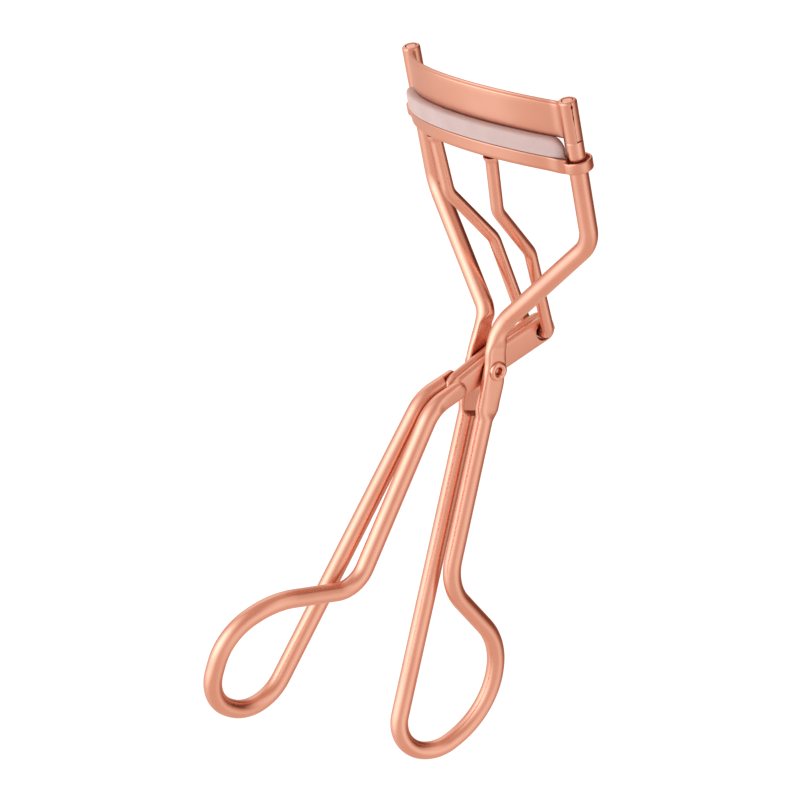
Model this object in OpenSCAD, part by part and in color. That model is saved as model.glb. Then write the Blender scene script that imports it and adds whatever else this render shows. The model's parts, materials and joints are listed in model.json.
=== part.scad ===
// Eyelash curler: bent wire frame, rolled upper jaw plate, sliding lower jaw with a
// silicone pad, pushrod yoke, folded lever and a looped lever handle.
// Millimetres. Z up, jaws at the top, X across the jaws, -Y is the front of the jaws.
// The two handles hang down, the lever handle in front of the frame handle.

/* [Wire] */
// Diameter of the frame and handle wire
wire_d = 2.55; // [2.2:0.05:3.2]
// Diameter of the pushrod wire
rod_d = 1.75; // [1.4:0.05:2.2]
// Centre distance between the two wires of a handle
handle_spacing = 3.7; // [3.2:0.1:5]

/* [Jaw] */
// Centre distance between the two guide wires
guide_spacing = 34; // [28:0.5:38]
// Forward lean of the guides
guide_lean = 23.5; // [0:0.5:30]
// Radius of the front face of the upper jaw plate
plate_r = 23.6; // [20:0.1:32]
// Distance of the plate's front face ahead of the guides
plate_reach = 7.2; // [5:0.1:10]
// Thickness of the upper jaw plate
plate_t = 0.7; // [0.5:0.05:1.2]
// Height of the upper jaw plate
plate_h = 4.9; // [4:0.1:8]
// Height of the lower jaw bar
bar_h = 1.95; // [1.6:0.05:3]
// Width of the lower jaw bar, front to back
bar_w = 2.7; // [2.2:0.05:4]
// Width of the silicone pad, front to back
pad_w = 3; // [2.2:0.05:4]
// Height of the pad above the lower jaw bar
pad_h = 2.6; // [1.2:0.05:3]
// Gap left between the pad and the plate with the jaws shut
jaw_gap = 0.12; // [0.08:0.02:1]

/* [Frame] */
// Height of the guide bend above the pivot
guide_foot = 21.8; // [18:0.1:26]
// Height of the frame's lower bend above the pivot
neck_rise = 6.6; // [5.5:0.1:9]
// Thickness of the flattened wire at the pivot
flat_t = 1.2; // [1:0.05:1.6]
// Width of the flattened wire at the pivot
flat_w = 3.4; // [3:0.1:4.4]
// Length of the flattened wire
flat_l = 13; // [11:0.1:15]

/* [Lever] */
// Upward slope of the lever
lever_slope = 30.6; // [25:0.1:36]
// Distance from the pivot to the pushrod hole
lever_reach = 9.85; // [8:0.05:12]
// Outside width of the folded lever
lever_w = 2.8; // [2.4:0.05:3]
// Sheet thickness of the lever
lever_t = 0.6; // [0.4:0.05:0.8]
// Height of the lever's side walls
lever_h = 3.7; // [3.2:0.1:4.4]
// Diameter of the pushrod hole in the lever
rod_hole_d = 2.6; // [2.2:0.05:2.8]
// Diameter of the rivet shank
rivet_d = 1.8; // [1.4:0.05:2]

/* [Placement] */
// Height of the pivot above the lowest point of the tool
pivot_height = 58.81; // [50:0.01:70]
// Distance of the pivot behind the middle of the tool
pivot_setback = 13.81; // [5:0.01:20]

/* [Hidden] */
metal = "#d9957a";
silicone = "#d9c8c8";
fit_gap = 0.05;
hair = 0.08;
guide_x = guide_spacing / 2;
wire_x = handle_spacing / 2;

// Levels of the jaw edges above the pivot.
plate_z = guide_foot + 13.9;
pad_z = plate_z - jaw_gap * cos(guide_lean);
bar_z = pad_z - pad_h - 0.03;
bar_bottom = bar_z - bar_h;
floor_t = 0.8;
groove_w = 1.5;

// Sleeves rolled from the ends of the plate, and the turned wire ends inside them.
sleeve_wall = 0.45;
sleeve_foot = (plate_z - guide_foot) / cos(guide_lean);
sleeve_h = 5.8;
spigot_d = wire_d - 2 * sleeve_wall;

// Eyelets at the ends of the lower jaw bar.
eyelet_r = 2.1;
eyelet_wall = 0.37;
eyelet_h = 1.55;
eyelet_foot = (bar_z - guide_foot) / cos(guide_lean) - 1.15;

// The bar and pad share one arc, set back so that the plate lands on the pad's middle.
pad_r = 22.85;
pad_reach = plate_reach - plate_t / 2 + 0.2;
pad_clear = 0.03;

// The ends of the pad rest beside the eyelets, which are cut back to make room.
seat_w = pad_w + 2 * fit_gap;
seat_x = 16.25;

// Pushrod: where its arms leave the bar, bend twice and turn into the lever hole.
slide = [0, -sin(guide_lean), cos(guide_lean)];
arm_x = 6.2;
arm_back = 0.3;
arm_end_x = lever_w / 2 + 1.2;
tenon_d = 1.1;
tenon_l = floor_t - 0.05;
hole_lift = 0.25;
lever_dir = [0, cos(lever_slope), sin(lever_slope)];
lever_up = [0, -sin(lever_slope), cos(lever_slope)];
rod_eye = lever_reach * lever_dir + hole_lift * lever_up - [0, 0.11, 0.05];

flat_x = (lever_w + 0.4 + flat_t) / 2;
lever_low = -1.5;
lever_tail = 7.4;
// Thickness of its floor and curled tops, and the width of the slit between them.
lever_fold = 0.5;
lever_slit = 0.4;
lap_end = 6.2;
lap_x = 1.6;
lap_lift = 0.2;
lap_bends = [10.9, 10.2];
head_r = 1.45;
head_t = 0.5;

// ---- helpers -------------------------------------------------------------

function unit(v) = v / norm(v);
function half_angle(a, b) = acos(unit(a) * unit(b)) / 2;

// Distance from a corner to where its bend starts.
function setback(p, i, r) =
    (i == 0 || i == len(p) - 1) ? 0 : r / tan(half_angle(p[i - 1] - p[i], p[i + 1] - p[i]));

module rod(a, b, d) {
    v = b - a;
    translate(a)
        rotate([0, acos(v.z / norm(v)), atan2(v.y, v.x)])
            cylinder(h = norm(v), d = d, $fn = 48);
}

// Round bend of radius r at corner c between the corners a and b.
module bend(a, c, b, r, d) {
    u = unit(a - c);
    v = unit(b - c);
    half = acos(u * v) / 2;
    centre = c + unit(u + v) * r / sin(half);
    x = unit(c + u * r / tan(half) - centre);
    y = -u;
    z = cross(x, y);
    multmatrix([[x.x, y.x, z.x, centre.x],
                [x.y, y.y, z.y, centre.y],
                [x.z, y.z, z.z, centre.z]])
        rotate_extrude(angle = 180 - 2 * half, $fn = 96)
            translate([r, 0])
                circle(d = d, $fn = 48);
}

// Round wire through the corners p, bent at each corner to the radius in r.
// The straights are a hair thinner and run a hair into the bends, so the solids join cleanly.
module bent_wire(p, r, d) {
    last = len(p) - 1;
    for (i = [0 : last - 1]) {
        v = unit(p[i + 1] - p[i]);
        start = i == 0 ? 0 : setback(p, i, r[i]) - hair;
        stop = i + 1 == last ? 0 : setback(p, i + 1, r[i + 1]) - hair;
        rod(p[i] + v * start, p[i + 1] - v * stop, d - hair / 4);
    }
    for (i = [1 : len(p) - 2])
        bend(p[i - 1], p[i], p[i + 1], r[i], d);
}

// Placement of the whole tool, pivot axis along X.
module placed() {
    translate([0, pivot_setback, pivot_height])
        children();
}

// Frame with Z along the guides and its zero at the guide bend.
module along_guides() {
    translate([0, 0, guide_foot])
        rotate([guide_lean, 0, 0])
            children();
}

// Frame with Z along the lever, seen from the pivot.
module along_lever() {
    rotate([lever_slope, 0, 0])
        children();
}

module level_slab(low, high) {
    translate([-30, -40, low])
        cube([60, 60, high - low]);
}

// Curved strip standing along the guides, front face at the given reach.
module jaw_arc(r, t, reach, half_w) {
    along_guides()
        linear_extrude(height = 30)
            intersection() {
                translate([0, r - reach])
                    difference() {
                        circle(r = r, $fn = 180);
                        circle(r = r - t, $fn = 180);
                    }
                translate([-half_w, -reach - 1])
                    square([2 * half_w, reach + 5]);
            }
}

// Point of the jaws at x, p ahead of the guides, at height z above the pivot.
function jaw_point(x, p, z) =
    let (s = (z - guide_foot + p * sin(guide_lean)) / cos(guide_lean))
    [x, -p * cos(guide_lean) - s * sin(guide_lean), z];

// Where a pushrod arm meets the underside of the lower jaw bar.
function arm_foot(side) =
    jaw_point(side * arm_x,
              sqrt(pad_r * pad_r - arm_x * arm_x) - pad_r + pad_reach - arm_back, bar_bottom);

// Corners of one pushrod arm, from the bar down to the lever.
function arm_corners(side) = [
    arm_foot(side) - [0, 0, 0.4],
    arm_foot(side) - slide * 8.5 - [side * 0.8, 0, 0],
    [side * 4, 1.1, 17.2],
    [side * arm_end_x, rod_eye.y, rod_eye.z]];

module at_guides() {
    for (side = [-1, 1])
        along_guides()
            translate([side * guide_x, 0, 0])
                children();
}

// ---- frame ---------------------------------------------------------------

frame_loop = [[-1.7, -31.5], [9.8, -40.6], [11.4, -51.6], [3.8, -57.8], [-3.6, -56.9]];
frame_loop_r = [7.6, 10.3, 12.3, 6, 5.2];
loop_shift = [1, 0.7, 0.2, -0.45, -1];

lever_loop = [[-17.9, -30.9], [-31.6, -31.8], [-38.1, -36.4], [-38.2, -46.5], [-27.8, -50]];
lever_loop_r = [4.8, 11.6, 8.6, 6.3, 6.5];
lever_shift = [1, 1, 0.45, -0.45, -1];

function loop_points(loop, shift) =
    [for (i = [0 : len(loop) - 1]) [shift[i] * wire_x, loop[i][0], loop[i][1]]];

// Half width of the flattened wire at height z: full in the middle, wire width at the ends.
function ease(t) = (1 - cos(180 * min(1, max(0, t)))) / 2;
function flat_half(z) =
    let (rise = ease((z - 1) / (flat_l / 2 - 1)), drop = ease((-4.2 - z) / (flat_l / 2 - 4)))
    flat_w / 2 - rise * (flat_w / 2 - 1) - drop * (flat_w / 2 - 0.9);

// Flattened stretch of the wire, beside the lever.
module flat_plate(side) {
    low = -flat_l / 2 - 0.9;
    levels = [for (i = [0 : 20]) low + i * flat_l / 20];
    front = [for (z = levels) [-flat_half(z + 0.9), z]];
    back = [for (i = [20 : -1 : 0]) [flat_half(levels[i] + 0.9), levels[i]]];
    translate([side * flat_x, 0, 0])
        rotate([90, 0, 90])
            linear_extrude(height = flat_t, center = true)
                polygon(concat(front, back));
}

module frame_wire() {
    top = [0, -sin(guide_lean), cos(guide_lean)] * sleeve_foot;
    foot = [0, 0, guide_foot];
    color(metal) placed() difference() {
        union() {
            difference() {
                union() {
                    for (side = [-1, 1])
                        bent_wire([[side * guide_x, 0, 0] + foot + top,
                                   [side * guide_x, 0, 0] + foot,
                                   [side * (flat_x - 0.15), 0, neck_rise],
                                   [side * (flat_x - 0.15), -0.1, 4.2]],
                                  [0, 4.5, 4, 0], wire_d);
                    bent_wire(concat([[wire_x, -0.2, -6]],
                                     loop_points(frame_loop, loop_shift),
                                     [[-wire_x, -0.2, -6]]),
                              concat([0], frame_loop_r, [0]), wire_d);
                }
                translate([-lever_w / 2 - 0.3, -4, -6.6])
                    cube([lever_w + 0.6, 8, 11.2]);
            }
            for (side = [-1, 1])
                flat_plate(side);
            at_guides()
                translate([0, 0, sleeve_foot - 1])
                    cylinder(h = sleeve_h + 0.6, d = spigot_d, $fn = 48);
        }
        rotate([0, 90, 0])
            cylinder(h = 20, d = rivet_d, center = true, $fn = 48);
    }
}

// ---- jaws ----------------------------------------------------------------

module upper_plate() {
    color(metal) placed() difference() {
        union() {
            intersection() {
                jaw_arc(plate_r, plate_t, plate_reach, guide_x - 0.6);
                level_slab(plate_z, plate_z + plate_h);
            }
            at_guides()
                translate([0, 0, sleeve_foot])
                    cylinder(h = sleeve_h, d = wire_d, $fn = 48);
        }
        at_guides()
            translate([0, 0, sleeve_foot - 1])
                cylinder(h = sleeve_h + 2, d = spigot_d, $fn = 48);
        for (side = [-1, 1])
            along_guides()
                translate([side * (guide_x + wire_d / 2), -0.1, sleeve_foot + sleeve_h / 2])
                    cube([1.2, 0.16, sleeve_h + 1], center = true);
    }
}

module lower_jaw() {
    color(metal) placed() difference() {
        union() {
            intersection() {
                jaw_arc(pad_r + bar_w / 2, bar_w, pad_reach + bar_w / 2, guide_x - 1.5);
                level_slab(bar_bottom, bar_z);
            }
            at_guides()
                translate([0, 0, eyelet_foot])
                    cylinder(h = eyelet_h, r = eyelet_r, $fn = 64);
        }
        intersection() {
            jaw_arc(pad_r + groove_w / 2, groove_w, pad_reach + groove_w / 2, guide_x - 3.4);
            level_slab(bar_bottom + floor_t, bar_z + 2);
        }
        intersection() {
            jaw_arc(pad_r + seat_w / 2, seat_w, pad_reach + seat_w / 2, seat_x);
            level_slab(bar_z + pad_clear / 2, bar_z + 3);
        }
        at_guides()
            cylinder(h = 30, r = eyelet_r - eyelet_wall, $fn = 64);
        for (side = [-1, 1])
            translate(arm_foot(side))
                cylinder(h = 4 * tenon_l, d = tenon_d, center = true, $fn = 32);
    }
}

// Corner points of the pad's section: across the jaw, and up from the bar's top.
pad_top = [for (a = [0 : 15 : 180]) [pad_w / 2 * cos(a), pad_h - 0.9 + 0.9 * pow(sin(a), 0.6)]];
tongue_w = groove_w - 2 * fit_gap;
tongue_h = bar_h - floor_t - fit_gap;
pad_section = concat(
    [[tongue_w / 2, -tongue_h], [tongue_w / 2, 0], [pad_w / 2 - 0.15, 0], [pad_w / 2, 0.2]],
    pad_top,
    [[-pad_w / 2, 0.2], [-pad_w / 2 + 0.15, 0], [-tongue_w / 2, 0], [-tongue_w / 2, -tongue_h]]);

module silicone_pad() {
    steps = 44;
    span = 43;
    groove_span = 34;
    count = len(pad_section);
    rings = [for (i = [0 : steps])
        let (turn = span * sin(90 * (2 * i / steps - 1)),
             edge = 1 - min(1, (span - abs(turn)) / 2),
             shrink = sqrt(1 - 0.6 * edge * edge),
             tongue = abs(turn) < groove_span ? 1 : 0.02)
        [for (c = pad_section)
            let (r = pad_r + c.x * shrink)
            jaw_point(r * sin(turn), r * cos(turn) - pad_r + pad_reach,
                      bar_z + pad_clear + (c.y < 0 ? c.y * tongue : c.y * shrink))]];
    points = [for (ring = rings) each ring];
    sides = [for (i = [0 : steps - 1], k = [0 : count - 1])
        [i * count + k, i * count + (k + 1) % count,
         (i + 1) * count + (k + 1) % count, (i + 1) * count + k]];
    first = [for (k = [count - 1 : -1 : 0]) k];
    last = [for (k = [0 : count - 1]) steps * count + k];
    color(silicone) placed()
        polyhedron(points = points, faces = concat([first, last], sides), convexity = 8);
}

module pushrod() {
    color(metal) placed() {
        bent_wire([for (side = [1, -1])
                       each side > 0 ? arm_corners(side)
                                     : [for (i = [3 : -1 : 0]) arm_corners(side)[i]]],
                  [0, 3, 3.5, 1.1, 1.1, 3.5, 3, 0], rod_d);
        for (side = [-1, 1])
            translate(arm_foot(side)) {
                cylinder(h = tenon_l, d = tenon_d, $fn = 32);
                translate([0, 0, -0.5])
                    cylinder(h = 0.5, d = rod_d + 0.6, $fn = 48);
            }
    }
}

// ---- lever ---------------------------------------------------------------

// A block as wide as given, with the lever's side outline drawn in by inset. The outline is
// cut down at the end that sits between the handle wires.
module lever_block(width, inset) {
    low = lever_low + inset;
    top = lever_low + lever_h - inset;
    rotate([90, 0, 90])
        linear_extrude(height = width, center = true)
            polygon([[-lever_tail + inset, low], [lever_reach, low], [lever_reach, top], [2.5, top],
                     [-5.2, top - 0.8], [-5.9, top - 1.2], [-6.6, top - 2.3],
                     [-lever_tail + inset, top - 2.5]]);
    translate([0, lever_reach, lever_low + lever_h / 2])
        rotate([0, 90, 0])
            cylinder(h = width, d = lever_h - 2 * inset, center = true, $fn = 64);
}

// The lever is folded from one strip: floor, two walls, and tops that nearly meet at a slit.
module lever_channel() {
    color(metal) placed() along_lever() difference() {
        lever_block(lever_w, 0);
        lever_block(lever_w - 2 * lever_t, lever_fold);
        translate([-lever_slit / 2, -lever_tail - 1, 0])
            cube([lever_slit, lever_tail + lever_reach + 2, lever_h]);
        rotate([0, 90, 0])
            cylinder(h = 20, d = rivet_d + 2 * fit_gap, center = true, $fn = 48);
        translate([0, lever_reach, hole_lift])
            rotate([0, 90, 0])
                cylinder(h = 20, d = rod_hole_d, center = true, $fn = 64);
    }
}

module lever_handle() {
    ends = [for (side = [1, -1]) [side * lap_x, 0, 0] - lap_end * lever_dir + lap_lift * lever_up];
    bends = [for (i = [0, 1])
        [(1 - 2 * i) * lap_x, 0, 0] - lap_bends[i] * lever_dir + lap_lift * lever_up];
    color(metal) placed() difference() {
        union() {
            bent_wire(concat([ends[0], bends[0]],
                             loop_points(lever_loop, lever_shift),
                             [bends[1], ends[1]]),
                      concat([0, 6], lever_loop_r, [6, 0]), wire_d);
            for (end = ends)
                translate(end)
                    sphere(d = wire_d, $fn = 48);
        }
        along_lever()
            translate([-lever_w / 2, -lever_tail, -5])
                cube([lever_w, lever_tail, 10]);
    }
}

module pivot_rivet() {
    face = flat_x + flat_t / 2;
    color(metal) placed() rotate([0, 90, 0]) difference() {
        union() {
            translate([0, 0, -face])
                cylinder(h = 2 * face, d = rivet_d, $fn = 48);
            intersection() {
                translate([0, 0, face])
                    rotate_extrude($fn = 96)
                        translate([head_r - 0.42, 0])
                            circle(r = 0.42, $fn = 32);
                translate([0, 0, face])
                    cylinder(h = head_t, r = 2 * head_r, $fn = 48);
            }
            translate([0, 0, face - 0.3])
                cylinder(h = 0.5, r = 0.8, $fn = 48);
            intersection() {
                translate([0, 0, -face + 1.9])
                    sphere(r = 2.4, $fn = 96);
                translate([0, 0, -face - head_t])
                    cylinder(h = head_t, r = 2 * head_r, $fn = 48);
            }
        }
        translate([0, 0, face - 1.2])
            cylinder(h = 4, r = 0.6, $fn = 32);
    }
}

// ---- nodes ---------------------------------------------------------------

frame_wire();
upper_plate();
lower_jaw();
silicone_pad();
pushrod();
lever_channel();
lever_handle();
pivot_rivet();
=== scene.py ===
import json
import math
import random

import bmesh
import bpy
from mathutils import Matrix, Vector


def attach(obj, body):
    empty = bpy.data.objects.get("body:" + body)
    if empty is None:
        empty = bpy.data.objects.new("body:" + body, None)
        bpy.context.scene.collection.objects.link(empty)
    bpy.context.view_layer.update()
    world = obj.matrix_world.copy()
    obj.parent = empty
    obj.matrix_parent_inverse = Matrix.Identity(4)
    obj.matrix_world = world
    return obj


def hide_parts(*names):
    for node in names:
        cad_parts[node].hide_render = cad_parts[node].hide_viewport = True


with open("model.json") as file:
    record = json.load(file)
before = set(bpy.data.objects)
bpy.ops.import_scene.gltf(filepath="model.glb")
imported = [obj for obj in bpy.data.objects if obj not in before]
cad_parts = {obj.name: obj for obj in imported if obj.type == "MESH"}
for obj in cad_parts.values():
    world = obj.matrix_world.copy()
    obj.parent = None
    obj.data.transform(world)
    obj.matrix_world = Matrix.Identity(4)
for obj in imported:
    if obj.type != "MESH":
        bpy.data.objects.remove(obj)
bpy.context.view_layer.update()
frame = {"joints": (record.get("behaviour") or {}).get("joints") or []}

# Lengths are in millimetres and measured from the lever's pivot. X runs across the jaws, the front
# of the tool is at -Y and Z points up.
MM = 0.001
JOINTS = {joint["name"]: joint for joint in frame["joints"]}
PIVOT = Vector(JOINTS["lever_pivot"]["pos_m"])
ACROSS = Vector((1, 0, 0))

# Wire of the frame and the handle.
WIRE_R = 1.275
WIRE_X = 1.85
WIRE_SIDES = 32
PATH_STEP = 0.26

# The two guides lean forward. Below them the frame wire closes in to a neck over the pivot.
GUIDE_X = 17.0
GUIDE_FOOT = 21.8
LEAN = math.radians(23.5)
GUIDE_DIR = Vector((0, -math.sin(LEAN), math.cos(LEAN)))
GUIDE_FRONT = Vector((0, -math.cos(LEAN), -math.sin(LEAN)))
NECK = Vector((2.08, 0, 6.6))
FAR_NECK = Vector((-2.0, 0.25, 7.4))

# Pressed flats of the frame wire, on both sides of the lever: inner side, outer side, half width
# and how much wider they grow downwards. Then the heights of the neck above them, of the ledge
# under their inner side, of the place where their width begins to go back to the wire's, and of
# the lower and upper end of the whole pressed stretch.
FLAT_IN = 1.6
FLAT_OUT = 2.8
FLAT_HALF = 1.7
FLAT_SPREAD = 0.12
FLAT_NECK = 5.4
FLAT_LEDGE = -7.05
FLAT_FADE = -5.5
PRESSED_LOW = -10
PRESSED_HIGH = 13

# Upper plate and the sleeves rolled from its ends. The guides' tops are thinner inside them.
PLATE_R = 23.6
PLATE_REACH = 7.2
PLATE_T = 0.7
PLATE_LOW = 35.7
PLATE_HIGH = 40.6
SLEEVE_FOOT = (PLATE_LOW - GUIDE_FOOT) / math.cos(LEAN)
SLEEVE_H = 5.8
SLEEVE_WALL = 0.45
SLEEVE_SEAM = math.radians(16)
SLEEVE_SIDES = 56
SPIGOT_H = SLEEVE_H - 0.04

# Silicone pad, the lower bar that carries it, and the bar's eyelets on the guides.
PAD_R = 22.85
PAD_REACH = 7.05
PAD_W = 3.0
PAD_H = 2.7
PAD_HEAD = 0.95
PAD_SPAN = math.radians(43.4)
SEAT_W = PAD_W + 0.1
SEAT_END = 16.25
BAR_W = 2.7
BAR_HIGH = 32.96
BAR_LOW = 31.01
EYELET_R = 2.1
EYELET_WALL = 0.37
EYELET_H = 1.55
EYELET_FOOT = 11.02
EYELET_SIDES = 72

# Folded lever. It rises to the back, where the pushrod's crossbar lies in its hole.
SLOPE = math.radians(30.6)
LEVER_DIR = Vector((0, math.cos(SLOPE), math.sin(SLOPE)))
LEVER_UP = Vector((0, -math.sin(SLOPE), math.cos(SLOPE)))
LEVER_REACH = 9.85
LEVER_LOW = -1.5
LEVER_H = 3.7
LEVER_HALF = 1.4
LEVER_TAIL = 7.4
ROD_HOLE_R = 1.3
HOLE_LIFT = 0.25

# Pushrod: its wire, where its arms meet the bar, how far they run along the guides and close in,
# their lower bend, and the middle of the crossbar.
ROD_R = 0.875
ROD_SIDES = 28
ROD_TOP_X = 6.2
ROD_DROP = 8.5
ROD_CLOSE = 0.8
ROD_KNEE = (4, 1.1, 17.2)
ROD_EYE = LEVER_REACH * LEVER_DIR + HOLE_LIFT * LEVER_UP - Vector((0, 0.11, 0.05))

# Finger loops. Each corner has a y, a z, the radius of its bend, and how far across it lies, from
# 1 at one wire to -1 at the other.
FRAME_LOOP = [(-1.7, -31.5, 7.6, 1), (9.8, -40.6, 10.3, 0.7), (11.4, -51.6, 12.3, 0.2),
              (3.8, -57.8, 6, -0.45), (-3.6, -56.9, 5.2, -1)]
LEVER_LOOP = [(-17.9, -30.9, 4.8, 1), (-31.6, -31.8, 11.6, 1), (-38.1, -36.4, 8.6, 0.45),
              (-38.2, -46.5, 6.3, -0.45), (-27.8, -50, 6.5, -1)]

# Flattened ends of the handle wire, lapped on the lever's sides. The lists have the near end
# first: how far in front of the pivot each ends and bends, and how long its rounded tip is.
LAP_X = 1.6
LAP_ENDS = [6.2, 5.15]
LAP_BENDS = [10.9, 10.2]
LAP_TIPS = [1.35, 0.75]
LAP_LIFT = 0.2
LAP_REACH = 9

# Rivet: the bores it passes through, its shank and its rolled head.
FRAME_BORE_R = 0.9
LEVER_BORE_R = 0.95
SHANK_R = 0.88
RIVET_R = 1.4
RIVET_RIM = 0.44
RIVET_HOLE_R = 0.5


# ---- small helpers --------------------------------------------------------

def ease(t):
    """0 before 0, 1 after 1, smooth between."""
    t = min(1.0, max(0.0, t))
    return t * t * (3 - 2 * t)


def mix(a, b, t):
    return a + (b - a) * t


def above(z, start, over):
    """0 up to the start, then rising to 1 over the given length."""
    return ease((z - start) / over)


def below(z, start, over):
    """0 down to the start, then rising to 1 over the given length."""
    return ease((start - z) / over)


def hump(x, middle, width):
    """A smooth hump of height 1."""
    return math.exp(-((x - middle) / width) ** 2)


def soft_max(a, b, round_over):
    """The larger of a and b, with the corner between them rounded."""
    near = max(round_over - abs(a - b), 0.0) / round_over
    return max(a, b) + near * near * round_over / 4


def soft_min(a, b, round_over):
    return -soft_max(-a, -b, round_over)


def arc(across, up, radius, start, stop, count=5):
    """Points of an arc, from one angle to another in degrees."""
    angles = [math.radians(mix(start, stop, k / count)) for k in range(count + 1)]
    return [(across + radius * math.cos(a), up + radius * math.sin(a)) for a in angles]


def jaw_point(x, ahead, z):
    """Point at x, the given length ahead of the guides and at height z."""
    along = (z - GUIDE_FOOT + ahead * math.sin(LEAN)) / math.cos(LEAN)
    return Vector((x, -ahead * math.cos(LEAN) - along * math.sin(LEAN), z))


def guide_foot(side):
    return Vector((side * GUIDE_X, 0, GUIDE_FOOT))


def guide_point(side, along, angle, radius):
    """Point round a guide: angle 0 faces outwards and a quarter turn faces the front."""
    out = Vector((side, 0, 0)) * math.cos(angle) + GUIDE_FRONT * math.sin(angle)
    return guide_foot(side) + GUIDE_DIR * along + out * radius


# ---- paths ----------------------------------------------------------------

def spans(path):
    return [(b - a).length for a, b in zip(path, path[1:])]


def evenly(line, step):
    """The same line with points about one step apart."""
    lengths = spans(line)
    total = sum(lengths)
    count = max(2, round(total / step))
    points = [line[0].copy()]
    i = 0
    passed = 0.0
    for k in range(1, count):
        want = total * k / count
        while passed + lengths[i] < want:
            passed += lengths[i]
            i += 1
        points.append(line[i].lerp(line[i + 1], (want - passed) / lengths[i]))
    points.append(line[-1].copy())
    return points


def round_bend(before, corner, after, radius, step):
    """Points of a round bend at a corner between two straight runs."""
    u = (before - corner).normalized()
    v = (after - corner).normalized()
    half = u.angle(v) / 2
    centre = corner + (u + v).normalized() * radius / math.sin(half)
    start = corner + u * radius / math.tan(half) - centre
    turn = math.pi - 2 * half
    axis = start.cross(-u).normalized()
    count = max(4, int(turn * radius / step * 2))
    return [centre + Matrix.Rotation(turn * k / count, 3, axis) @ start for k in range(count + 1)]


def bent_path(corners, radii, step=PATH_STEP):
    """Evenly spaced points along straight runs joined by round bends, one radius per bend."""
    line = [corners[0]]
    for before, corner, after, radius in zip(corners, corners[1:], corners[2:], radii):
        line += round_bend(before, corner, after, radius, step)
    line.append(corners[-1])
    return evenly(line, step)


def with_point(path, length):
    """The same path with one more point at the given length from its start."""
    passed = 0.0
    for i, (a, b) in enumerate(zip(path, path[1:])):
        span = (b - a).length
        if passed + span > length:
            return path[:i + 1] + [a.lerp(b, (length - passed) / span)] + path[i + 1:]
        passed += span
    return path


def tangents(path):
    last = len(path) - 1
    return [(path[min(last, i + 1)] - path[max(0, i - 1)]).normalized() for i in range(last + 1)]


def cross_axes(path, side_axis=None):
    """Two axes across the path at every point. With side_axis, the first stays close to it."""
    ways = tangents(path)
    if side_axis is not None:
        firsts = [(side_axis - side_axis.project(way)).normalized() for way in ways]
    else:
        firsts = [ways[0].orthogonal().normalized()]
        for before, after in zip(ways, ways[1:]):
            firsts.append(before.rotation_difference(after) @ firsts[-1])
    return [(u, way.cross(u).normalized()) for u, way in zip(firsts, ways)]


# ---- meshes ---------------------------------------------------------------

def tube_rings(path, radius, sides, side_axis=None, reshape=None):
    """Rings of points round a path. radius is given the length so far and the length to the
    nearer end, and reshape the parts of a point and the length to the nearer end."""
    rings = []
    total = sum(spans(path))
    so_far = 0.0
    for i, (centre, (u, v)) in enumerate(zip(path, cross_axes(path, side_axis))):
        if i:
            so_far += (centre - path[i - 1]).length
        to_end = min(so_far, total - so_far)
        r = radius(so_far, to_end)
        ring = []
        for k in range(sides):
            angle = 2 * math.pi * k / sides
            across = u * math.cos(angle) * r
            along = v * math.sin(angle) * r
            if reshape:
                ring.append(reshape(centre, across, along, to_end))
            else:
                ring.append(centre + across + along)
        rings.append(ring)
    return rings


def loft(name, rings, closed=False):
    """A mesh through rings with the same number of points, capped at both ends unless closed."""
    count = len(rings[0])
    points = [tuple(point) for ring in rings for point in ring]
    faces = []
    bands = len(rings) if closed else len(rings) - 1
    for i in range(bands):
        j = (i + 1) % len(rings)
        for k in range(count):
            m = (k + 1) % count
            faces.append((i * count + k, i * count + m, j * count + m, j * count + k))
    if not closed:
        faces.append(tuple(range(count - 1, -1, -1)))
        faces.append(tuple(range((len(rings) - 1) * count, len(rings) * count)))
    mesh = bpy.data.meshes.new(name)
    mesh.from_pydata(points, [], faces)
    made = bmesh.new()
    made.from_mesh(mesh)
    bmesh.ops.recalc_face_normals(made, faces=made.faces)
    made.to_mesh(mesh)
    made.free()
    obj = bpy.data.objects.new(name, mesh)
    bpy.context.scene.collection.objects.link(obj)
    return obj


def lathe(name, profile, origin, axis, sides=64):
    """A solid turned about an axis. The profile is a list of (radius, distance along the axis)."""
    smallest = 1e-4
    axis = Vector(axis).normalized()
    u = axis.orthogonal().normalized()
    v = axis.cross(u)
    angles = [2 * math.pi * k / sides for k in range(sides)]
    outs = [u * math.cos(a) + v * math.sin(a) for a in angles]
    rings = []
    for r, along in profile:
        centre = Vector(origin) + axis * along
        rings.append([centre + out * max(r, smallest) for out in outs])
    return loft(name, rings)


def drill(radius, start, stop, origin, axis, sides):
    """A plain cylinder to cut a bore with, from start to stop along the axis."""
    return lathe("drill", [(radius, start), (radius, stop)], origin, axis, sides)


def combine(obj, tools, operation):
    """Adds the tools to the object, or cuts them from it, for good."""
    for tool in tools:
        step = obj.modifiers.new("combine", "BOOLEAN")
        step.operation = operation
        step.solver = "EXACT"
        step.object = tool
        bpy.context.view_layer.update()
        graph = bpy.context.evaluated_depsgraph_get()
        mesh = bpy.data.meshes.new_from_object(obj.evaluated_get(graph))
        obj.modifiers.remove(step)
        obj.data = mesh
    for tool in tools:
        bpy.data.objects.remove(tool)
    return obj


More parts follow.
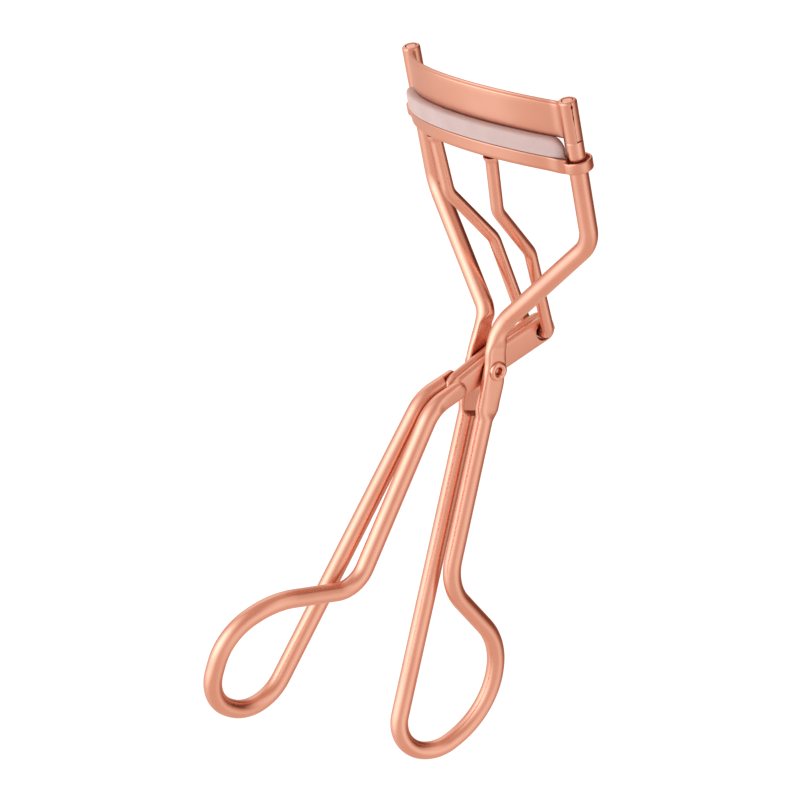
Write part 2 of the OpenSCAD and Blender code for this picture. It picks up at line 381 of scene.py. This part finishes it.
def finished(obj, body, node, material, crease):
    """Puts a piece in the frame: its size in metres, its shading, its body, node and finish."""
    mesh = obj.data
    mesh.transform(Matrix.Translation(PIVOT) @ Matrix.Scale(MM, 4))
    mesh.materials.clear()
    mesh.materials.append(material)
    made = bmesh.new()
    made.from_mesh(mesh)
    for face in made.faces:
        face.smooth = True
        face.material_index = 0
    limit = math.radians(crease)
    for edge in made.edges:
        if len(edge.link_faces) == 2:
            edge.smooth = edge.calc_face_angle(0) < limit
    made.to_mesh(mesh)
    made.free()
    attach(obj, body)
    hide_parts(node)
    return obj


# ---- shader nodes ---------------------------------------------------------

# Sockets of a Mix node that mixes colours.
MIX_A = 6
MIX_B = 7
MIX_RESULT = 2


def new_material(name):
    material = bpy.data.materials.new(name)
    material.use_nodes = True
    return material, material.node_tree, material.node_tree.nodes["Principled BSDF"]


def noise(tree, place, scale, detail):
    node = tree.nodes.new("ShaderNodeTexNoise")
    node.inputs["Scale"].default_value = scale
    node.inputs["Detail"].default_value = detail
    tree.links.new(place, node.inputs["Vector"])
    return node.outputs["Fac"]


def map_range(tree, value, source=(0.0, 1.0), target=(0.0, 1.0), smooth=False):
    node = tree.nodes.new("ShaderNodeMapRange")
    node.interpolation_type = "SMOOTHSTEP" if smooth else "LINEAR"
    node.inputs["From Min"].default_value = source[0]
    node.inputs["From Max"].default_value = source[1]
    node.inputs["To Min"].default_value = target[0]
    node.inputs["To Max"].default_value = target[1]
    tree.links.new(value, node.inputs["Value"])
    return node.outputs["Result"]


def colour_ramp(tree, value, stops, ease_between=False):
    """The colour that a value takes from a ramp with the given (place, colour) stops."""
    node = tree.nodes.new("ShaderNodeValToRGB")
    ramp = node.color_ramp
    ramp.interpolation = "EASE" if ease_between else "LINEAR"
    while len(ramp.elements) < len(stops):
        ramp.elements.new(0.5)
    for element, (place, colour) in zip(ramp.elements, stops):
        element.position = place
        element.color = (*colour, 1)
    tree.links.new(value, node.inputs["Fac"])
    return node.outputs["Color"]


def bump(tree, height, strength, depth, over=None):
    """A bump depth metres high, on top of another bump if one is given."""
    node = tree.nodes.new("ShaderNodeBump")
    node.inputs["Strength"].default_value = strength
    node.inputs["Distance"].default_value = depth
    tree.links.new(height, node.inputs["Height"])
    if over is not None:
        tree.links.new(over, node.inputs["Normal"])
    return node.outputs["Normal"]


# ---- materials ------------------------------------------------------------

# Painted shade in gaps and where pieces meet: how near the other surface is, in metres, the warm
# dark colour painted there, and how open a place is where the painted shade is full and where
# there is none.
GAP_SHADE_REACH = 0.003
GAP_SHADE_TONE = (0.62, 0.27, 0.19)
GAP_SHADE_RANGE = (0.1, 0.7)
# Repeats per metre of the patterns that all the plating shares, and of those of the pad.
PLATING_CLOUD = 160.0
PLATING_WAVE = 420.0
SILICONE_CLOUD = 300.0
SILICONE_GRAIN = 5200.0
ROSE_LIGHT = (0.95, 0.535, 0.41)
ROSE_DARK = (0.92, 0.495, 0.37)
SHEET_LIGHT = (0.90, 0.49, 0.37)
SHEET_DARK = (0.87, 0.455, 0.335)
SILICONE_LIGHT = (0.585, 0.465, 0.455)
SILICONE_DARK = (0.52, 0.405, 0.395)


def paint_gap_shade(tree, colour):
    """The colour, with a warm painted shade in gaps and where pieces meet."""
    gap = tree.nodes.new("ShaderNodeAmbientOcclusion")
    gap.samples = 8
    gap.inputs["Distance"].default_value = GAP_SHADE_REACH
    # Painted shade: mixes the colour towards a warm dark tone where the AO node finds other
    # surfaces near.
    shaded_tint = tree.nodes.new("ShaderNodeMix")
    shaded_tint.data_type = "RGBA"
    openness = map_range(tree, gap.outputs["AO"], GAP_SHADE_RANGE)
    tree.links.new(openness, shaded_tint.inputs["Factor"])
    shaded_tint.inputs[MIX_A].default_value = (*GAP_SHADE_TONE, 1)
    tree.links.new(colour, shaded_tint.inputs[MIX_B])
    return shaded_tint.outputs[MIX_RESULT]


def satin_metal(name, light, dark, roughness, grain, grain_depth, grain_stretch=(1, 1, 1)):
    """Rose-gold plating: soft cloudy colour, a fine grain, and a slightly uneven surface."""
    material, tree, shader = new_material(name)
    shader.inputs["Metallic"].default_value = 1.0
    place = tree.nodes.new("ShaderNodeTexCoord").outputs["Object"]
    stretch = tree.nodes.new("ShaderNodeMapping")
    stretch.inputs["Scale"].default_value = grain_stretch
    tree.links.new(place, stretch.inputs["Vector"])

    cloud = noise(tree, place, PLATING_CLOUD, 3.0)
    tint = colour_ramp(tree, cloud, [(0.35, dark), (0.68, light)])
    # The base colour carries painted shade in gaps and where pieces meet.
    tree.links.new(paint_gap_shade(tree, tint), shader.inputs["Base Color"])

    fine = noise(tree, stretch.outputs["Vector"], grain, 2.0)
    rough = map_range(tree, fine, target=(roughness - 0.05, roughness + 0.06))
    tree.links.new(rough, shader.inputs["Roughness"])

    uneven = bump(tree, noise(tree, place, PLATING_WAVE, 1.0), strength=0.25, depth=0.00006)
    grained = bump(tree, fine, strength=0.5, depth=grain_depth, over=uneven)
    tree.links.new(grained, shader.inputs["Normal"])
    return material


def silicone_rubber(name):
    """Milky silicone with a faint cloudiness and a soft, dusty sheen."""
    material, tree, shader = new_material(name)
    shader.inputs["Subsurface Weight"].default_value = 0.6
    shader.inputs["Subsurface Radius"].default_value = (1.0, 0.55, 0.45)
    shader.inputs["Subsurface Scale"].default_value = 0.0012
    shader.inputs["IOR"].default_value = 1.41
    place = tree.nodes.new("ShaderNodeTexCoord").outputs["Object"]

    cloud = noise(tree, place, SILICONE_CLOUD, 4.0)
    tint = colour_ramp(tree, cloud, [(0.3, SILICONE_DARK), (0.7, SILICONE_LIGHT)])
    tree.links.new(tint, shader.inputs["Base Color"])
    tree.links.new(map_range(tree, cloud, target=(0.42, 0.56)), shader.inputs["Roughness"])

    fine = noise(tree, place, SILICONE_GRAIN, 2.0)
    dusty = bump(tree, fine, strength=0.3, depth=0.00002)
    tree.links.new(dusty, shader.inputs["Normal"])
    return material


WIRE_FINISH = satin_metal("rose_gold_wire", ROSE_LIGHT, ROSE_DARK,
                          roughness=0.27, grain=3000, grain_depth=0.000004)
SHEET_FINISH = satin_metal("rose_gold_sheet", SHEET_LIGHT, SHEET_DARK,
                           roughness=0.32, grain=2600, grain_depth=0.000007,
                           grain_stretch=(0.25, 1, 1))
RIVET_FINISH = satin_metal("rose_gold_rivet", ROSE_LIGHT, ROSE_DARK,
                           roughness=0.25, grain=3000, grain_depth=0.000004)
SILICONE = silicone_rubber("milky_silicone")


# ---- frame wire -----------------------------------------------------------

def loop_corners(loop):
    return [Vector((across * WIRE_X, y, z)) for y, z, _, across in loop]


def loop_radii(loop):
    return [radius for _, _, radius, _ in loop]


def flat_plane_in(y, z):
    """How far from the middle the inner side of the pressed flat lies."""
    ledge = 4.6 * below(z, FLAT_LEDGE, 0.7)
    neck = 1.1 * above(z, FLAT_NECK, 2.4)
    twist = 0.15 * (above(z, 2.0, 1.8) + below(z, -3.0, 1.2)) * y
    return FLAT_IN - ledge - neck + twist


def flat_plane_out(z):
    """How far from the middle its outer side lies."""
    foot = 1.4 * below(z, -5.8, 3.0)
    neck = 1.1 * above(z, 2.8, 3.0) + max(0.0, z - FLAT_NECK) * 2.2
    return FLAT_OUT + foot + neck


def flat_width(z):
    """Half width of the wire across the flat."""
    wide = FLAT_HALF + FLAT_SPREAD * below(z, 0, 2)
    narrowed = mix(wide, WIRE_R, above(z, 0.6, 6.4))
    return mix(narrowed, WIRE_R, below(z, FLAT_FADE, 1.9))


def flat_shift(side, z):
    """How far the flat stands ahead of the middle of the wire."""
    ahead = 0.42 * above(z, 0.4, 2.4) * (1 - above(z, 4.4, 3.5)) if side > 0 else 0
    behind = FLAT_SPREAD * below(z, 0, 2) * (1 - below(z, FLAT_FADE, 1.9))
    return ahead - behind


def press_flat(centre, across, along, to_end):
    """Squeezes the round wire between two planes where the lever is riveted to it."""
    z = centre.z
    if not PRESSED_LOW < z < PRESSED_HIGH:
        return centre + across + along
    side = 1 if centre.x > 0 else -1
    point = centre + across + along * (flat_width(z) / WIRE_R)
    point.y -= flat_shift(side, z)
    x = point.x * side + 0.12 * ease((5 - abs(z)) / 3)
    x = soft_max(x, flat_plane_in(point.y, z), 0.3)
    x = soft_min(x, flat_plane_out(z), 0.34)
    point.x = x * side
    return point


def frame_wire_radius(so_far, to_end):
    """The wire is thinner, with a rounded tip, where it stands inside a sleeve."""
    if to_end < SPIGOT_H:
        return WIRE_R - SLEEVE_WALL + 0.01 - 0.16 * (1 - ease(to_end / 0.2))
    return WIRE_R - 0.03 * (1 - ease((to_end - SPIGOT_H) / 0.05))


def frame_wire_path():
    top = GUIDE_DIR * (SLEEVE_FOOT + SPIGOT_H)
    near = [guide_foot(1) + top, guide_foot(1), NECK, Vector((WIRE_X, -0.2, -6))]
    far = [Vector((-WIRE_X, -0.2, -6)), FAR_NECK, guide_foot(-1), guide_foot(-1) + top]
    corners = near + loop_corners(FRAME_LOOP) + far
    path = bent_path(corners, [4.5, 5, 30] + loop_radii(FRAME_LOOP) + [30, 3, 4.5])
    total = sum(spans(path))
    for length in (0.08, 0.25, SPIGOT_H - 0.01, SPIGOT_H + 0.01, SPIGOT_H + 0.05):
        path = with_point(with_point(path, length), total - length)
    return path


def build_frame_wire():
    rings = tube_rings(frame_wire_path(), frame_wire_radius, WIRE_SIDES, ACROSS, press_flat)
    wire = loft("plated_frame_wire", rings)
    combine(wire, [drill(FRAME_BORE_R, -4, 4, (0, 0, 0), ACROSS, 48)], "DIFFERENCE")
    return finished(wire, "frame", "frame_wire", WIRE_FINISH, crease=50)


# ---- upper plate ----------------------------------------------------------

def plate_section():
    """Section of the plate as (depth behind its front face, height)."""
    low, high = PLATE_LOW, PLATE_HIGH
    front = [(0.0, mix(low + 0.4, high - 0.62, k / 6)) for k in range(7)]
    groove = [(0.02, high - 0.5), (0.075, high - 0.43), (0.02, high - 0.36)]
    return (arc(0.3, low + 0.3, 0.3, 270, 180)
            + front + groove
            + arc(0.16, high - 0.16, 0.16, 180, 90, 4)
            + arc(PLATE_T - 0.16, high - 0.16, 0.16, 90, 0, 4)
            + arc(PLATE_T - 0.2, low + 0.2, 0.2, 0, -90, 4))


def plate_swell(x):
    """How far the plate's front face swells out just before a sleeve."""
    return 0.28 * hump(x, 16.05, 0.45)


def jaw_strip(name, section, radius, reach, x_end, count, swell=None):
    """A strip of the given section bent along the jaw's curve. swell moves its front face out."""
    half = math.asin(x_end / radius)
    rings = []
    for i in range(count + 1):
        turn = mix(-half, half, i / count)
        ring = []
        for depth, z in section:
            out = swell(radius * abs(math.sin(turn))) if swell and depth < 0.5 else 0
            r = radius - depth + out
            ring.append(jaw_point(r * math.sin(turn), r * math.cos(turn) - radius + reach, z))
        rings.append(ring)
    return loft(name, rings)


def seam_gap(t, rng):
    """Half the width of a sleeve's seam, as an angle, at a share t of its height."""
    gap = mix(0.012, 0.035 + 0.03 * rng.random(), above(t, 0.42, 0.2))
    gap += 0.09 * hump(t, 0.89, 0.035) - 0.03 * above(t, 0.93, 0.05)
    return max(gap, 0.012)


def sleeve(side, rng):
    """The rolled end of the plate: a tube with a seam down its outer side, wider at the top."""
    steps = 60
    edge = 0.3
    rings = []
    for i in range(steps + 1):
        t = i / steps
        up = t * (SLEEVE_H - 0.02)
        along = SLEEVE_FOOT + 0.02 + up
        left = SLEEVE_H - up
        pull = edge - math.sqrt(max(0.0, edge ** 2 - max(0.0, edge - left) ** 2))
        gap = seam_gap(t, rng)
        notch = 0.62 * below(up, 0.17, 0.1)
        first = SLEEVE_SEAM + gap
        last = SLEEVE_SEAM + 2 * math.pi - gap - notch
        angles = [mix(first, last, k / SLEEVE_SIDES) for k in range(SLEEVE_SIDES + 1)]
        outer = [guide_point(side, along, a, WIRE_R - pull) for a in angles]
        inner = [guide_point(side, along, a, WIRE_R - SLEEVE_WALL) for a in reversed(angles)]
        rings.append(outer + inner)
    return loft(f"sleeve_{side}", rings)


def build_upper_plate():
    rng = random.Random(4)
    plate = jaw_strip("plated_upper_jaw", plate_section(), PLATE_R, PLATE_REACH, GUIDE_X - 0.75,
                      120, plate_swell)
    for side in (1, -1):
        core = drill(WIRE_R - 0.1, SLEEVE_FOOT - 3, SLEEVE_FOOT + 12, guide_foot(side),
                     GUIDE_DIR, SLEEVE_SIDES)
        combine(plate, [core], "DIFFERENCE")
    combine(plate, [sleeve(1, rng), sleeve(-1, rng)], "UNION")
    return finished(plate, "frame", "upper_plate", SHEET_FINISH, crease=40)


# ---- lower jaw ------------------------------------------------------------

def bar_section():
    """Section of the bar as (depth behind its front face, height)."""
    low, high = BAR_LOW, BAR_HIGH
    return (arc(0.42, low + 0.42, 0.42, 270, 180)
            + [(0.0, mix(low + 0.5, high - 0.3, k / 3)) for k in range(4)]
            + arc(0.2, high - 0.2, 0.2, 180, 90)
            + arc(BAR_W - 0.2, high - 0.2, 0.2, 90, 0)
            + arc(BAR_W - 0.42, low + 0.42, 0.42, 0, -90))


def bar_swell(x):
    """How far the bar's front face swells out just before an eyelet."""
    return 0.4 * hump(x, 16.1, 0.75)


def eyelet(side):
    """A ring with rounded edges round a guide."""
    low, high = EYELET_FOOT, EYELET_FOOT + EYELET_H
    hole = EYELET_R - EYELET_WALL
    edge = 0.2
    profile = [(hole, low + 0.1), (hole + 0.1, low)]
    profile += arc(EYELET_R - edge, low + edge, edge, -90, 0)
    profile += arc(EYELET_R - edge, high - edge, edge, 0, 90)
    profile += [(hole + 0.1, high), (hole, high - 0.1)]
    rings = []
    for k in range(EYELET_SIDES):
        angle = 2 * math.pi * k / EYELET_SIDES
        rings.append([guide_point(side, along, angle, radius) for radius, along in profile])
    return loft(f"eyelet_{side}", rings, closed=True)


def pad_seat():
    """The space that the ends of the pad take from the eyelets."""
    low, high = BAR_HIGH + 0.01, BAR_HIGH + 3
    section = [(0, low), (SEAT_W, low), (SEAT_W, high), (0, high)]
    return jaw_strip("seat", section, PAD_R + SEAT_W / 2, PAD_REACH + SEAT_W / 2, SEAT_END, 60)


def build_lower_jaw():
    jaw = jaw_strip("plated_lower_jaw", bar_section(), PAD_R + BAR_W / 2, PAD_REACH + BAR_W / 2,
                    GUIDE_X + 0.2, 120, bar_swell)
    hole = EYELET_R - EYELET_WALL + 0.02
    eyelets = [eyelet(side) for side in (1, -1)]
    bores = [drill(hole, 2, 25, guide_foot(side), GUIDE_DIR, EYELET_SIDES) for side in (1, -1)]
    combine(jaw, bores, "DIFFERENCE")
    combine(jaw, eyelets, "UNION")
    combine(jaw, [pad_seat()], "DIFFERENCE")
    return finished(jaw, "carriage", "lower_jaw", SHEET_FINISH, crease=40)


# ---- silicone pad ---------------------------------------------------------

def pad_section():
    """Section of the pad as (distance ahead of its middle line, height above the bar)."""
    half = PAD_W / 2
    front = [(half - 0.35, 0), (half - 0.12, 0.06), (half - 0.02, 0.3)]
    head = []
    for a in range(0, 181, 9):
        up = math.sin(math.radians(a)) ** 0.62
        head.append((half * math.cos(math.radians(a)), PAD_H - PAD_HEAD + PAD_HEAD * up))
    return front + head + [(-out, up) for out, up in reversed(front)]


def build_pad():
    steps = 110
    end_round = math.radians(3.2)
    floor = BAR_HIGH + 0.03
    rings = []
    for i in range(steps + 1):
        turn = PAD_SPAN * math.sin(math.pi / 2 * (2 * i / steps - 1))
        edge = 1 - min(1.0, (PAD_SPAN - abs(turn)) / end_round)
        shrink = math.sqrt(max(0.0, 1 - 0.8 * edge * edge))
        ring = []
        for out, up in pad_section():
            r = PAD_R + out * shrink
            ring.append(jaw_point(r * math.sin(turn), r * math.cos(turn) - PAD_R + PAD_REACH,
                                  floor + up * mix(shrink, 1, 0.25)))
        rings.append(ring)
    pad = loft("moulded_silicone_pad", rings)
    finished(pad, "carriage", "silicone_pad", SILICONE, crease=60)
    return pad


# ---- pushrod --------------------------------------------------------------

def rod_arm(side):
    """Corners of one arm, from the bar down to the crossbar."""
    ahead = math.sqrt(PAD_R ** 2 - ROD_TOP_X ** 2) - PAD_R + PAD_REACH - 0.3
    top = jaw_point(side * ROD_TOP_X, ahead, BAR_LOW)
    knee_x, knee_y, knee_z = ROD_KNEE
    return [top + Vector((0, 0, 0.05)),
            top - GUIDE_DIR * ROD_DROP - Vector((side * ROD_CLOSE, 0, 0)),
            Vector((side * knee_x, knee_y, knee_z)),
            Vector((side * (LEVER_HALF + 1.2), ROD_EYE.y, ROD_EYE.z))]


def pushrod_radius(so_far, to_end):
    """The rod has a small foot under the bar."""
    return ROD_R + 0.24 * (1 - ease((to_end - 0.35) / 0.4))


def build_pushrod():
    corners = rod_arm(1) + list(reversed(rod_arm(-1)))
    path = bent_path(corners, [3, 3.5, 1.3, 1.3, 3.5, 3])
    pushrod = loft("plated_pushrod", tube_rings(path, pushrod_radius, ROD_SIDES))
    return finished(pushrod, "carriage", "pushrod", WIRE_FINISH, crease=50)


# ---- lever ----------------------------------------------------------------

def lever_point(x, along, up):
    return Vector((x, 0, 0)) + LEVER_DIR * along + LEVER_UP * up


def lever_top(along):
    """Height of the lever's top edge, which drops away between the handle wires."""
    top = LEVER_LOW + LEVER_H
    corners = [(-LEVER_TAIL, top - 2.6), (-6.9, top - 2.0), (-6.4, top - 1.3), (-5.2, top - 0.8),
               (2.5, top), (20, top)]
    for (a, height_a), (b, height_b) in zip(corners, corners[1:]):
        if along <= b:
            return mix(height_a, height_b, max(0.0, (along - a) / (b - a)))
    return top


def lever_edges(along):
    """Heights of the lever's bottom and top, which close to a blunt nose at the back."""
    half = LEVER_H / 2
    past = along - LEVER_REACH
    if past <= 0:
        return LEVER_LOW, lever_top(along)
    half_left = half * max(0.17, 1 - (past / half) ** 2.6) ** (1 / 2.6)
    return LEVER_LOW + half - half_left, LEVER_LOW + half + half_left


def lever_section(low, top, hollow):
    """A folded channel: a closed floor, two walls, and tops curled in to a narrow slit."""
    wall = 0.6
    slit = 0.05
    crest = min(0.68, (top - low) * 0.4)
    inner = LEVER_HALF - wall
    floor = max(low + 0.2, min(low + 0.5, top - 1.1))
    ceiling = floor + max(0.02, (top - 1.05 - floor) * hollow)
    right = [(slit, ceiling + 0.01), (slit, top - crest * 0.75)]
    right += arc(LEVER_HALF - crest, top - crest, crest, 165, 0, 15)
    right += [(LEVER_HALF, low + 0.3), (LEVER_HALF - 0.09, low + 0.09), (LEVER_HALF - 0.3, low)]
    outer = right + [(-x, up) for x, up in reversed(right)]
    return outer + [(-inner, ceiling), (-inner, floor), (inner, floor), (inner, ceiling)]


def crossbar_hole():
    """The oversize hole for the pushrod's crossbar, with a flare at both sides."""
    half = [(ROD_HOLE_R, 1.2), (ROD_HOLE_R + 0.1, 1.35), (ROD_HOLE_R + 0.3, 1.75)]
    profile = [(r, -along) for r, along in reversed(half)] + half
    return lathe("rod_hole", profile, lever_point(0, LEVER_REACH, HOLE_LIFT), ACROSS, 64)


def build_lever_channel():
    steps = 100
    front = LEVER_REACH + LEVER_H / 2 - 0.02
    rings = []
    for i in range(steps + 1):
        along = mix(-LEVER_TAIL, front, 1 - (1 - i / steps) ** 1.35)
        low, top = lever_edges(along)
        hollow = 1 - above(along, front - 0.75, 0.25)
        rings.append([lever_point(x, along, up) for x, up in lever_section(low, top, hollow)])
    lever = loft("plated_lever", rings)
    pin_hole = drill(LEVER_BORE_R, -3, 3, (0, 0, 0), ACROSS, 48)
    combine(lever, [crossbar_hole(), pin_hole], "DIFFERENCE")
    return finished(lever, "lever", "lever_channel", SHEET_FINISH, crease=32)


# ---- lever handle ---------------------------------------------------------

def lap_point(side, back):
    return lever_point(side * LAP_X, -back, LAP_LIFT)


def handle_path():
    near_end, far_end = [lap_point(side, back - WIRE_R + 0.05)
                         for side, back in zip((1, -1), LAP_ENDS)]
    near_bend, far_bend = [lap_point(side, back) for side, back in zip((1, -1), LAP_BENDS)]
    corners = [near_end, near_bend] + loop_corners(LEVER_LOOP) + [far_bend, far_end]
    return bent_path(corners, [6] + loop_radii(LEVER_LOOP) + [6])


def handle_radius(so_far, to_end):
    """Both ends of the wire are rounded off, the near one over a longer stretch."""
    tip = LAP_TIPS[0] if so_far == to_end else LAP_TIPS[1]
    return WIRE_R * math.sqrt(max(0.02, 1 - max(0.0, 1 - to_end / tip) ** 2))


def press_lap(centre, across, along, to_end):
    """Flattens the ends of the handle wire against the lever's sides."""
    point = centre + across + along
    if to_end > LAP_REACH:
        return point
    side = 1 if centre.x > 0 else -1
    back = point.dot(LEVER_DIR)
    inner = mix(LEVER_HALF, 0.2, below(back, -5.9, 0.9))
    outer = LEVER_HALF + 0.95 + 0.55 * ease(to_end / 7) + 0.22 * max(0.0, to_end - 4.5) ** 2
    x = soft_max(point.x * side, inner, 0.1)
    point.x = soft_min(x, outer, 0.5) * side
    return point


def build_lever_handle():
    rings = tube_rings(handle_path(), handle_radius, WIRE_SIDES, ACROSS, press_lap)
    wire = loft("plated_lever_handle", rings)
    return finished(wire, "lever", "lever_handle", WIRE_FINISH, crease=50)


# ---- rivet ----------------------------------------------------------------

def build_rivet():
    """A rolled ring head round a blind hole on one side, a low dome on the other."""
    dome = [(0.02, 0.48), (0.5, 0.45), (0.95, 0.33), (1.3, 0.12), (1.36, 0.0), (SHANK_R, -0.02)]
    profile = [(r, -FLAT_OUT - up) for r, up in dome]
    profile += [(SHANK_R, FLAT_OUT - 0.02), (1.3, FLAT_OUT)]
    profile += arc(RIVET_R - RIVET_RIM, FLAT_OUT + 0.06, RIVET_RIM, 0, 180, 12)
    profile += [(RIVET_HOLE_R - 0.02, FLAT_OUT - 0.1), (RIVET_HOLE_R - 0.1, FLAT_OUT - 0.4),
                (0.02, FLAT_OUT - 0.55)]
    rivet = lathe("plated_rivet_pin", profile, (0, 0, 0), ACROSS, 72)
    return finished(rivet, "frame", "pivot_rivet", RIVET_FINISH, crease=50)


# ---- studio ---------------------------------------------------------------

FLOOR_SIZE = 3.0
FLOOR_GLOW = 0.95
# Brightness of the sky from straight down, 0, to straight up, 1.
SKY_LEVELS = [(0.0, 0.55), (0.3, 0.57), (0.5, 0.53), (0.72, 0.42), (1.0, 0.42)]
# Soft patches of light or shade: azimuth, elevation, how far it spreads, how much it adds.
SKY_PATCHES = [(-13, 6, 64, 0.85), (-45, -34, 50, 0.16), (98, -2, 34, 0.30), (116, 34, 32, 0.42),
               (172, 18, 62, -0.46), (129, -14, 36, 0.22), (-96, 41, 34, 0.5)]
SKY_PEAK = 2.0
# The colour that each brightness takes: dark parts are warmer.
SKY_TINTS = [(0.0, (0.10, 0.03, 0.015)), (0.13, (0.30, 0.127, 0.08)), (0.25, (0.44, 0.24, 0.185)),
             (0.51, (0.72, 0.52, 0.44)), (0.83, (0.93, 0.83, 0.77)), (1.05, (1.05, 1.04, 1.02)),
             (2.0, (2.0, 2.0, 2.0))]

# The camera: its angles in degrees and its lens and distance in millimetres.
CAMERA_AZIMUTH = 50.743
CAMERA_ELEVATION = 13.961
CAMERA_ROLL = 9.229
CAMERA_DISTANCE = 464.576
CAMERA_TARGET = Vector((0, -14.049, -4.583))
CAMERA_LENS = 153.91


def toward(azimuth, elevation):
    """The direction of a place around the tool: azimuth 0 is in front of it and 90 is at +X."""
    a, e = math.radians(azimuth), math.radians(elevation)
    return Vector((math.sin(a) * math.cos(e), -math.cos(a) * math.cos(e), math.sin(e)))


def build_floor():
    """A plain pale floor. It isn't mirrored in the metal, which sees the sky's lower half."""
    size = FLOOR_SIZE
    mesh = bpy.data.meshes.new("floor")
    mesh.from_pydata([(-size, -size, 0), (size, -size, 0), (size, size, 0), (-size, size, 0)], [],
                     [(0, 1, 2, 3)])
    floor = bpy.data.objects.new("floor", mesh)
    bpy.context.scene.collection.objects.link(floor)
    floor.visible_glossy = False
    floor.visible_shadow = False
    material, tree, shader = new_material("pale_floor")
    shader.inputs["Base Color"].default_value = (0.3, 0.3, 0.3, 1)
    shader.inputs["Roughness"].default_value = 0.8
    shader.inputs["Specular IOR Level"].default_value = 0.1
    shader.inputs["Emission Color"].default_value = (1, 1, 1, 1)
    shader.inputs["Emission Strength"].default_value = FLOOR_GLOW
    mesh.materials.append(material)


def soft_light(name, azimuth, elevation, distance, size, power):
    """A rectangular softbox aimed at the tool, with its distance and size in metres."""
    data = bpy.data.lights.new(name, "AREA")
    data.shape = "RECTANGLE"
    data.size, data.size_y = size
    data.energy = power
    lamp = bpy.data.objects.new(name, data)
    lamp.location = PIVOT + toward(azimuth, elevation) * distance
    lamp.rotation_mode = "QUATERNION"
    lamp.rotation_quaternion = toward(azimuth, elevation).to_track_quat("Z", "Y")
    lamp.visible_camera = False
    bpy.context.scene.collection.objects.link(lamp)


def sky_patch(tree, way, patch, before):
    """Adds one soft round patch to the brightness of the sky."""
    azimuth, elevation, spread, strength = patch
    near = tree.nodes.new("ShaderNodeVectorMath")
    near.operation = "DOT_PRODUCT"
    near.inputs[1].default_value = toward(azimuth, elevation)
    tree.links.new(way, near.inputs[0])
    amount = map_range(tree, near.outputs["Value"], (math.cos(math.radians(spread)), 1.0),
                       (0.0, strength), smooth=True)
    added = tree.nodes.new("ShaderNodeMath")
    tree.links.new(before, added.inputs[0])
    tree.links.new(amount, added.inputs[1])
    return added.outputs["Value"]


def build_sky():
    """Soft light all round: brightness by height, with a few soft patches, then its colour."""
    world = bpy.data.worlds.new("studio")
    world.use_nodes = True
    tree = world.node_tree
    way = tree.nodes.new("ShaderNodeTexCoord").outputs["Generated"]
    parts = tree.nodes.new("ShaderNodeSeparateXYZ")
    tree.links.new(way, parts.inputs["Vector"])
    height = map_range(tree, parts.outputs["Z"], source=(-1.0, 1.0))
    total = colour_ramp(tree, height, [(at, (v, v, v)) for at, v in SKY_LEVELS], True)
    for patch in SKY_PATCHES:
        total = sky_patch(tree, way, patch, total)
    share = tree.nodes.new("ShaderNodeMath")
    share.operation = "MULTIPLY"
    share.inputs[1].default_value = 1 / SKY_PEAK
    tree.links.new(total, share.inputs[0])
    tints = [(at / SKY_PEAK, [c / SKY_PEAK for c in colour]) for at, colour in SKY_TINTS]
    tint = colour_ramp(tree, share.outputs["Value"], tints)
    back = tree.nodes["Background"]
    back.inputs["Strength"].default_value = SKY_PEAK
    tree.links.new(tint, back.inputs["Color"])
    bpy.context.scene.world = world


def build_studio():
    build_floor()
    build_sky()
    soft_light("key", azimuth=-12, elevation=8, distance=0.7, size=(0.55, 0.5), power=0.45)
    bpy.context.scene.view_settings.view_transform = "Standard"


def build_camera():
    """The camera, aimed at the tool from the front right and tilted to the side."""
    azimuth = math.radians(CAMERA_AZIMUTH)
    roll = math.radians(CAMERA_ROLL)
    back = toward(CAMERA_AZIMUTH, CAMERA_ELEVATION)
    right = Vector((math.cos(azimuth), math.sin(azimuth), 0))
    up = back.cross(right)
    turned = right * math.cos(roll) + up * math.sin(roll)
    upright = up * math.cos(roll) - right * math.sin(roll)
    data = bpy.data.cameras.new("camera")
    data.sensor_width = 36
    data.lens = CAMERA_LENS
    data.clip_start = 0.01
    data.clip_end = 20
    camera = bpy.data.objects.new("camera", data)
    axes = Matrix((turned, upright, back)).transposed().to_4x4()
    place = PIVOT + (CAMERA_TARGET + back * CAMERA_DISTANCE) * MM
    camera.matrix_world = Matrix.Translation(place) @ axes
    bpy.context.scene.collection.objects.link(camera)
    bpy.context.scene.camera = camera


build_frame_wire()
build_upper_plate()
build_lower_jaw()
build_pad()
build_pushrod()
build_lever_channel()
build_lever_handle()
build_rivet()
build_studio()
build_camera()
